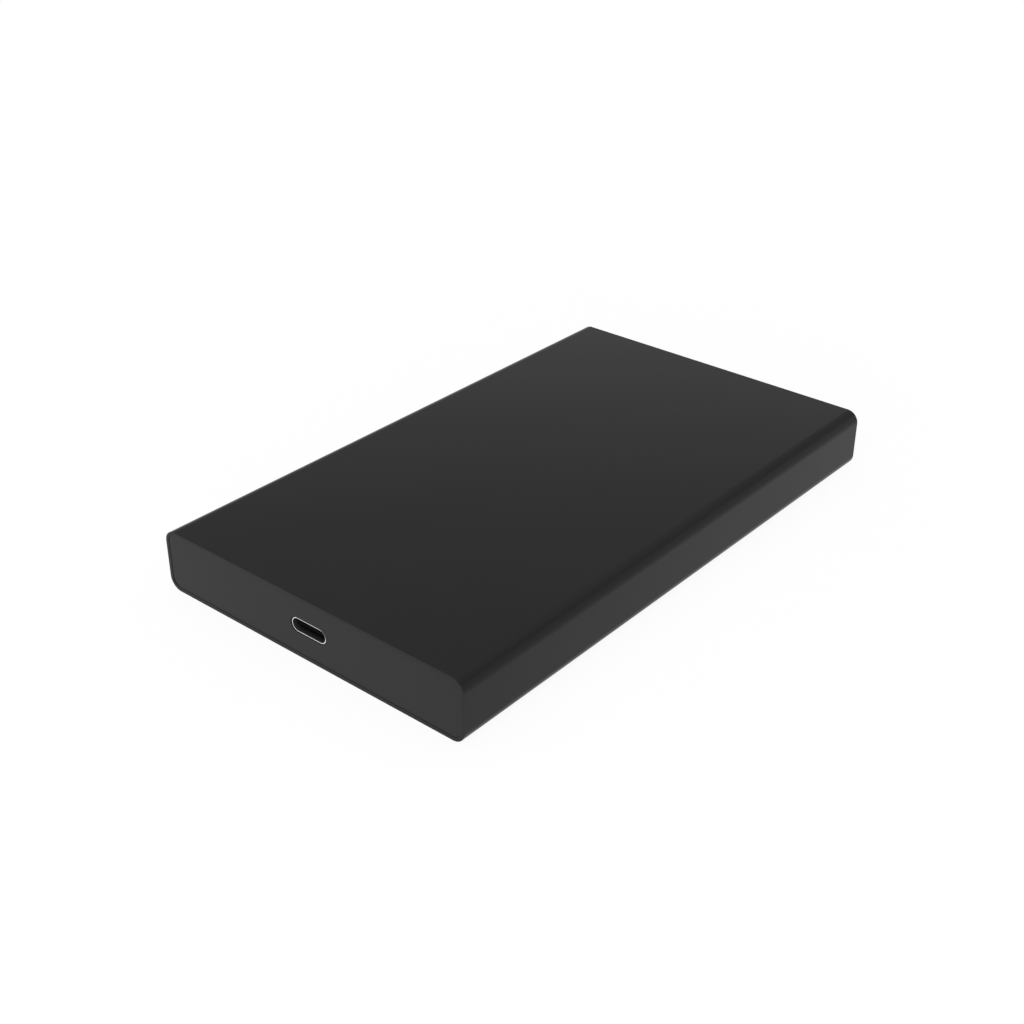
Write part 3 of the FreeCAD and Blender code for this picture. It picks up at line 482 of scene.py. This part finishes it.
def anodised_material(name, colour):
    """A satin black anodised finish, made once for each name."""
    finishes = bpy.context.scene.drive_finishes
    return bpy.data.materials.get(name) or finish_material(
        name, colour, finishes.case_roughness, gloss=finishes.case_gloss, **ANODISED)


def case_material():
    """The satin black of the sleeve and the rear plate."""
    return anodised_material("satin_black_anodised", bpy.context.scene.drive_finishes.case_tone)


def plate_material():
    """The satin black of the front plate, slightly paler than the sleeve: partly the plate's own finish,
    partly painted light for the light that falls on the front face.
    """
    return anodised_material("satin_black_plate_painted_light", bpy.context.scene.drive_finishes.plate_tone_and_painted_light)


def screw_material():
    """The black oxide of the rear screws."""
    return finish_material("black_oxide_steel", RECORD_TONES["black_screws"], **SLOT_FINISHES["black_screws"])


def shell_material(mouth):
    """Drawn steel, polished bright metal on the crest of its mouth, with painted shade behind it: dark
    non-metallic grey just behind the crest, then near black deeper inside.
    """
    finishes = bpy.context.scene.drive_finishes
    material = finish_material("drawn_steel_painted_shade", finishes.crest_tone, finishes.shell_roughness, **DRAWN_STEEL)
    nodes, links = material.node_tree.nodes, material.node_tree.links
    shader = nodes["Principled BSDF"]
    place = nodes.new("ShaderNodeTexCoord")
    split = nodes.new("ShaderNodeSeparateXYZ")
    links.new(place.outputs["Object"], split.inputs[0])
    colour = shader.inputs["Base Color"].links[0].from_socket
    shares = []
    # Painted shade inside the shell: the colour darkens from the bright crest to dark grey, then to near
    # black deeper in
    for start, end, deeper in ((finishes.crest_depth / 2, finishes.crest_depth, finishes.shell_painted_shade),
                               (finishes.crest_depth, finishes.painted_shade_depth, finishes.depth_painted_shade)):
        behind = nodes.new("ShaderNodeMapRange")
        behind.inputs["From Min"].default_value = mouth + start
        behind.inputs["From Max"].default_value = mouth + end
        links.new(split.outputs["Y"], behind.inputs["Value"])
        shares.append(behind.outputs["Result"])
        colour = mix_colours(nodes, links, shares[-1], colour, (*deeper, 1))
    links.new(colour, shader.inputs["Base Color"])
    # Behind the crest the painted shade is not metal, so it mirrors nothing
    links.new(math_step(nodes, links, "SUBTRACT", 1, shares[0]), shader.inputs["Metallic"])
    return material


def tongue_material():
    """The dull dark moulding of the port's tongue, darker than its own black with painted shade for the shade
    deep inside the port.
    """
    return finish_material("dark_tongue", bpy.context.scene.drive_finishes.tongue_tone_and_painted_shade, **DULL_MOULDING)


# Pieces of the case

class DRIVE_OT_sleeve(Operator):
    """Makes the extruded sleeve with its rounded long edges, softened ends and inner rails"""
    bl_idname = "drive.sleeve"
    bl_label = "Sleeve"

    def execute(self, context):
        sizes = context.scene.drive_case
        low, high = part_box("sleeve")
        bm = bmesh.new()
        outline = rounded_panel(bm, middle_of("sleeve", low.y), high.x - low.x, high.z - low.z,
                                sizes.edge_radius, sizes.round_steps)
        add_tube(bm, outline, sizes.wall, high.y - low.y)
        soften(bm, sizes.edge_break, sizes.edge_steps)
        rail_root = high.x - sizes.wall
        rail_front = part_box("front_plate")[0].y + sizes.front_plate
        rail_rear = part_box("rear_plate")[0].y
        top_rail = high.z - sizes.rail_level - sizes.rail_height
        for side in SIDES:
            left, right = sorted((side * (rail_root - sizes.rail_depth), side * rail_root))
            for level in (sizes.rail_level, top_rail):
                add_block(bm, (left, rail_front, level), (right, rail_rear, level + sizes.rail_height))
        finished(bm, "case_sleeve", case_material(), "sleeve")
        return {"FINISHED"}


def plate_outline(bm, middle, sizes):
    """The outline of an end plate, which fits the sleeve's bore closely; returns its vertices."""
    low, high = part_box("sleeve")
    inset = sizes.wall + sizes.plate_fit
    return rounded_panel(bm, middle, high.x - low.x - 2 * inset, high.z - low.z - 2 * inset,
                         sizes.edge_radius - inset, sizes.round_steps)


def port_middle(y):
    """The middle of the port, which its shield plate marks, at a depth along Y."""
    return middle_of("port_shield_plate", y)


def port_cutout(bm, y, port, steps):
    """The outline of the cut-out, which stands off the shell at the left and below; returns its vertices."""
    width = port.width + 2 * port.shell_wall + port.left_gap + port.close_gap
    height = port.height + 2 * port.shell_wall + port.lower_gap + port.close_gap
    shift = Vector((port.close_gap - port.left_gap, 0, port.close_gap - port.lower_gap)) / 2
    return rounded_panel(bm, port_middle(y) + shift, width, height, height / 2, steps)


class DRIVE_OT_front_plate(Operator):
    """Makes the front plate with the port's cut-out, softened edges and its two lugs"""
    bl_idname = "drive.front_plate"
    bl_label = "Front plate"

    def execute(self, context):
        sizes = context.scene.drive_case
        low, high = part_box("front_plate")
        bm = bmesh.new()
        outline = plate_outline(bm, middle_of("front_plate", low.y), sizes)
        cutout = port_cutout(bm, low.y, context.scene.drive_port, sizes.round_steps)
        deepen(bm, open_panel(bm, outline, [cutout]), sizes.front_plate)
        soften(bm, sizes.plate_break, sizes.plate_steps)
        back = low.y + sizes.front_plate
        for side in SIDES:
            left, right = sorted((side * (sizes.lug_outer - sizes.lug_width), side * sizes.lug_outer))
            add_block(bm, (left, back, sizes.lug_level), (right, high.y, sizes.lug_level + sizes.lug_height))
        finished(bm, "case_front_plate", plate_material(), "front_plate")
        return {"FINISHED"}


def screw_places(y):
    """The middle of each rear screw, at a depth along Y."""
    low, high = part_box("rear_plate_screws")
    reach = (high.x - low.x) / 2 - bpy.context.scene.drive_screws.head / 2
    return [Vector((side * reach, y, (low.z + high.z) / 2)) for side in SIDES]


class DRIVE_OT_rear_plate(Operator):
    """Makes the rear plate with two countersunk holes and softened edges"""
    bl_idname = "drive.rear_plate"
    bl_label = "Rear plate"

    def execute(self, context):
        sizes = context.scene.drive_case
        screw = context.scene.drive_screws
        low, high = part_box("rear_plate")
        bm = bmesh.new()
        outline = plate_outline(bm, middle_of("rear_plate", high.y), sizes)
        recess = high.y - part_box("rear_plate_screws")[1].y
        mouth = screw.head + 2 * (screw.gap + recess)
        throat = screw.thread + 2 * screw.gap
        places = screw_places(high.y)
        holes = [rounded_panel(bm, place, mouth, mouth, mouth / 2, sizes.round_steps) for place in places]
        back = deepen(bm, open_panel(bm, outline, holes), low.y - high.y)
        for place in places:
            ring = [vert for vert in back if abs(vert.co.x - place.x) < mouth]
            shrink(bm, ring, throat / mouth, place)
        soften(bm, sizes.plate_break, sizes.plate_steps,
               lambda edge: abs(edge.verts[0].co.y - high.y) < FLUSH_DISTANCE)
        finished(bm, "case_rear_plate", case_material(), "rear_plate")
        return {"FINISHED"}


def add_screw(bm, place, reach, screw, steps):
    """Adds a countersunk screw along Y whose flat head, with a tapered cross recess, lies at a point."""
    head = rounded_panel(bm, place, screw.head, screw.head, screw.head / 2, steps)
    edges = loop_edges(head)
    cross = cross_panel(bm, place, screw.cross_span, screw.cross_width)
    recess = bmesh.ops.extrude_face_region(bm, geom=[face_of(cross)], use_keep_orig=True)
    floor = only(BMVert, recess["geom"])
    bmesh.ops.translate(bm, vec=(0, -screw.cross_depth, 0), verts=floor)
    shrink(bm, floor, screw.cross_floor, place)
    open_panel(bm, head, [cross])
    cone = (screw.head - screw.thread) / 2
    for depth, factor in ((cone, screw.thread / screw.head), (reach - cone, 1)):
        made = bmesh.ops.extrude_edge_only(bm, edges=edges)["geom"]
        verts = only(BMVert, made)
        edges = only(BMEdge, made)
        bmesh.ops.translate(bm, vec=(0, -depth, 0), verts=verts)
        shrink(bm, verts, factor, place)
    bmesh.ops.edgeloop_fill(bm, edges=edges)


class DRIVE_OT_rear_screws(Operator):
    """Makes the two countersunk screws of the rear plate, each with a tapered cross recess"""
    bl_idname = "drive.rear_screws"
    bl_label = "Rear screws"

    def execute(self, context):
        screw = context.scene.drive_screws
        low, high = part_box("rear_plate_screws")
        bm = bmesh.new()
        for place in screw_places(high.y):
            add_screw(bm, place, high.y - low.y, screw, context.scene.drive_case.round_steps)
        soften(bm, screw.head_edge, screw.head_steps,
               lambda edge: edge.calc_length() < RIM_EDGE_SHARE * screw.head)
        finished(bm, "case_rear_screws", screw_material(), "rear_plate_screws")
        return {"FINISHED"}


# Pieces of the port

class DRIVE_OT_port(Operator):
    """Makes the drawn shell of the data port, with a rounded mouth and four legs"""
    bl_idname = "drive.port"
    bl_label = "Port shell"

    def execute(self, context):
        port = context.scene.drive_port
        low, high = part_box("port_shell")
        middle = port_middle(low.y)
        bm = bmesh.new()
        width = port.width + 2 * port.shell_wall
        height = port.height + 2 * port.shell_wall
        outline = rounded_panel(bm, middle, width, height, height / 2, context.scene.drive_case.round_steps)
        add_tube(bm, outline, port.shell_wall, high.y - low.y)
        soften(bm, port.shell_lip, port.lip_steps)
        for x in (low.x, high.x - port.leg_thickness):
            for number in range(port.legs_per_side):
                y = low.y + port.front_leg - port.leg_width / 2 + number * port.leg_pitch
                add_block(bm, (x, y, low.z), (x + port.leg_thickness, y + port.leg_width, middle.z))
        finished(bm, "port_mouth", shell_material(low.y), "port_shell")
        return {"FINISHED"}


def tongue_profile(port, tip, rear):
    """The corners of the tongue's side view, as distances along Y and above its middle."""
    block_front = rear - port.block_length
    root_front = block_front - port.root_length
    thin, thick = port.tongue_thickness / 2, port.root_thickness / 2
    upper = [(tip, thin), (root_front, thin), (root_front, thick), (block_front, thick)]
    return upper + [(y, -z) for y, z in reversed(upper)]


class DRIVE_OT_tongue(Operator):
    """Makes the port's moulded tongue: a rounded tip, a thick root and the block in the shell's rear"""
    bl_idname = "drive.tongue"
    bl_label = "Port tongue"

    def execute(self, context):
        port = context.scene.drive_port
        low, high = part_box("port_tongue")
        plate_low, plate_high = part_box("port_shield_plate")
        bm = bmesh.new()
        profile = tongue_profile(port, low.y, high.y)
        start = Vector((plate_low.x + port.tongue_inset, 0, port_middle(0).z))
        side = bm.faces.new([bm.verts.new(start + Vector((0, y, z))) for y, z in profile])
        deepen(bm, [side], plate_high.x - plate_low.x - 2 * port.tongue_inset, along=(1, 0, 0))
        root_front = high.y - port.block_length - port.root_length
        tip_corners = [edge for edge in bm.edges if max(vert.co.y for vert in edge.verts) < root_front
                       and edge.calc_length() < 2 * port.tongue_thickness]
        bmesh.ops.bevel(bm, geom=tip_corners, offset=port.tip_round, offset_type="OFFSET",
                        segments=port.tip_steps, profile=0.5, affect="EDGES", material=-1)
        soften(bm, port.tongue_edge, port.tongue_steps,
               lambda edge: min(vert.co.y for vert in edge.verts) < root_front)
        height = high.z - low.z
        rear = rounded_panel(bm, port_middle(high.y), high.x - low.x, height, height / 2,
                             context.scene.drive_case.round_steps)
        deepen(bm, [face_of(rear)], -port.block_length)
        finished(bm, "port_tongue_moulded", tongue_material(), "port_tongue")
        return {"FINISHED"}


# Pieces that keep the shape of their solids

class DRIVE_OT_insides(Operator):
    """Gives every piece that is carried over from the solids its own finish"""
    bl_idname = "drive.insides"
    bl_label = "Carried-over pieces"

    def execute(self, context):
        made = {}
        for node, piece in frame["nodes"].items():
            if piece.hide_render:
                continue
            slot = NODE_SLOTS[node]
            if slot not in made:
                made[slot] = finish_material(f"inner_{slot}", RECORD_TONES[slot], **SLOT_FINISHES[slot])
            piece.data.materials.clear()
            piece.data.materials.append(made[slot])
        return {"FINISHED"}


# Studio

def add_camera(studio):
    """The camera of the photograph."""
    camera = add_object("camera", bpy.data.cameras.new("camera"))
    camera.location = studio.eye
    camera.rotation_euler = studio.aim
    camera.data.lens = studio.lens
    camera.data.sensor_width = SENSOR_WIDTH
    bpy.context.scene.camera = camera


def seen_directly(nodes, links):
    """One where a ray comes from the camera, a mirror or glass, and zero elsewhere."""
    path = nodes.new("ShaderNodeLightPath")
    total = path.outputs["Is Camera Ray"]
    for name in ("Is Glossy Ray", "Is Transmission Ray"):
        total = math_step(nodes, links, "MAXIMUM", total, path.outputs[name])
    return total


def mix_shaders(nodes, links, amount, first, second):
    """Blends from the first shader to the second by an amount; returns the result."""
    mix = nodes.new("ShaderNodeMixShader")
    for source, socket in zip((amount, first, second), mix.inputs):
        links.new(source, socket)
    return mix.outputs[0]


def floor_material(studio):
    """A white floor: plain white to the eye, with a share of it lit, which keeps the soft shadow."""
    material = bpy.data.materials.new("white_floor")
    material.use_nodes = True
    nodes, links = material.node_tree.nodes, material.node_tree.links
    nodes.clear()
    output = nodes.new("ShaderNodeOutputMaterial")
    lit = nodes.new("ShaderNodeBsdfDiffuse")
    lit.inputs["Color"].default_value = (*studio.floor_tone, 1)
    white = nodes.new("ShaderNodeEmission")
    place = nodes.new("ShaderNodeTexCoord")
    away = nodes.new("ShaderNodeVectorMath")
    away.operation = "LENGTH"
    links.new(place.outputs["Object"], away.inputs[0])
    lit_share = nodes.new("ShaderNodeMapRange")
    lit_share.interpolation_type = "SMOOTHSTEP"
    for name, value in (("From Min", studio.shadow_core), ("From Max", studio.shadow_reach),
                        ("To Min", studio.shadow_share), ("To Max", 0)):
        lit_share.inputs[name].default_value = value
    links.new(away.outputs["Value"], lit_share.inputs["Value"])
    shown = mix_shaders(nodes, links, lit_share.outputs["Result"], white.outputs[0], lit.outputs[0])
    surface = mix_shaders(nodes, links, seen_directly(nodes, links), lit.outputs[0], shown)
    links.new(surface, output.inputs["Surface"])
    return material


def add_floor(studio):
    """A large white floor just under the part."""
    bm = bmesh.new()
    bmesh.ops.create_grid(bm, x_segments=1, y_segments=1, size=studio.floor_size / 2)
    bmesh.ops.translate(bm, vec=(0, 0, -studio.floor_gap), verts=bm.verts)
    floor = add_object("floor", mesh_from(bm, "floor", floor_material(studio)))


def set_world(studio):
    """Soft light from all round, graded from eye level to overhead, and plain white to the eye."""
    world = bpy.data.worlds.new("studio")
    bpy.context.scene.world = world
    world.use_nodes = True
    nodes, links = world.node_tree.nodes, world.node_tree.links
    place = nodes.new("ShaderNodeTexCoord")
    split = nodes.new("ShaderNodeSeparateXYZ")
    links.new(place.outputs["Generated"], split.inputs[0])
    ramp = nodes.new("ShaderNodeValToRGB")
    links.new(split.outputs["Z"], ramp.inputs["Fac"])
    stops = ramp.color_ramp.elements
    # A new ramp already has a stop at each end
    for height in SKY_HEIGHTS[1:-1]:
        stops.new(math.sin(math.radians(height)))
    for stop, level in zip(stops, studio.sky):
        stop.color = (level, level, level, 1)
    path = nodes.new("ShaderNodeLightPath")
    shown = mix_colours(nodes, links, path.outputs["Is Camera Ray"], ramp.outputs["Color"], WHITE)
    links.new(shown, nodes["Background"].inputs["Color"])


def add_lamp(studio):
    """A large soft lamp in front of the part, aimed at its origin."""
    lamp = add_object("front_lamp", bpy.data.lights.new("front_lamp", "AREA"))
    lamp.data.size = studio.lamp_size
    lamp.data.energy = studio.lamp_power
    lamp.location = studio.lamp_place
    lamp.rotation_euler = (-Vector(studio.lamp_place)).to_track_quat("-Z", "Y").to_euler()
    lamp.visible_glossy = False


class DRIVE_OT_studio(Operator):
    """Sets the camera, the white floor and the soft light"""
    bl_idname = "drive.studio"
    bl_label = "Studio"

    def execute(self, context):
        studio = context.scene.drive_studio
        context.scene.view_settings.view_transform = "Standard"
        add_camera(studio)
        add_floor(studio)
        set_world(studio)
        add_lamp(studio)
        return {"FINISHED"}


OPERATORS = (DRIVE_OT_sleeve, DRIVE_OT_front_plate, DRIVE_OT_rear_plate, DRIVE_OT_rear_screws, DRIVE_OT_port,
             DRIVE_OT_tongue, DRIVE_OT_insides, DRIVE_OT_studio)


class DRIVE_PT_looks(Panel):
    """Lists the steps that dress the drive"""
    bl_idname = "DRIVE_PT_looks"
    bl_label = "External drive"
    bl_space_type = "VIEW_3D"
    bl_region_type = "UI"
    bl_category = "Drive"

    def draw(self, context):
        for operator in OPERATORS:
            self.layout.operator(operator.bl_idname)


SETTINGS = {
    "drive_case": DriveCaseSizes,
    "drive_port": DrivePortSizes,
    "drive_screws": DriveScrewSizes,
    "drive_finishes": DriveFinishes,
    "drive_studio": DriveStudio,
}
CLASSES = (*SETTINGS.values(), *OPERATORS, DRIVE_PT_looks)


def register():
    """Registers the classes and gives the scene its settings."""
    for entry in CLASSES:
        bpy.utils.register_class(entry)
    for name, group in SETTINGS.items():
        setattr(bpy.types.Scene, name, PointerProperty(type=group))


def unregister():
    """Takes back what register does."""
    for name in SETTINGS:
        delattr(bpy.types.Scene, name)
    for entry in reversed(CLASSES):
        bpy.utils.unregister_class(entry)


def main():
    """Makes every piece and the studio."""
    register()
    bpy.ops.drive.sleeve()
    bpy.ops.drive.front_plate()
    bpy.ops.drive.rear_plate()
    bpy.ops.drive.rear_screws()
    bpy.ops.drive.port()
    bpy.ops.drive.tongue()
    bpy.ops.drive.insides()
    bpy.ops.drive.studio()


if __name__ == "__main__":
    main()
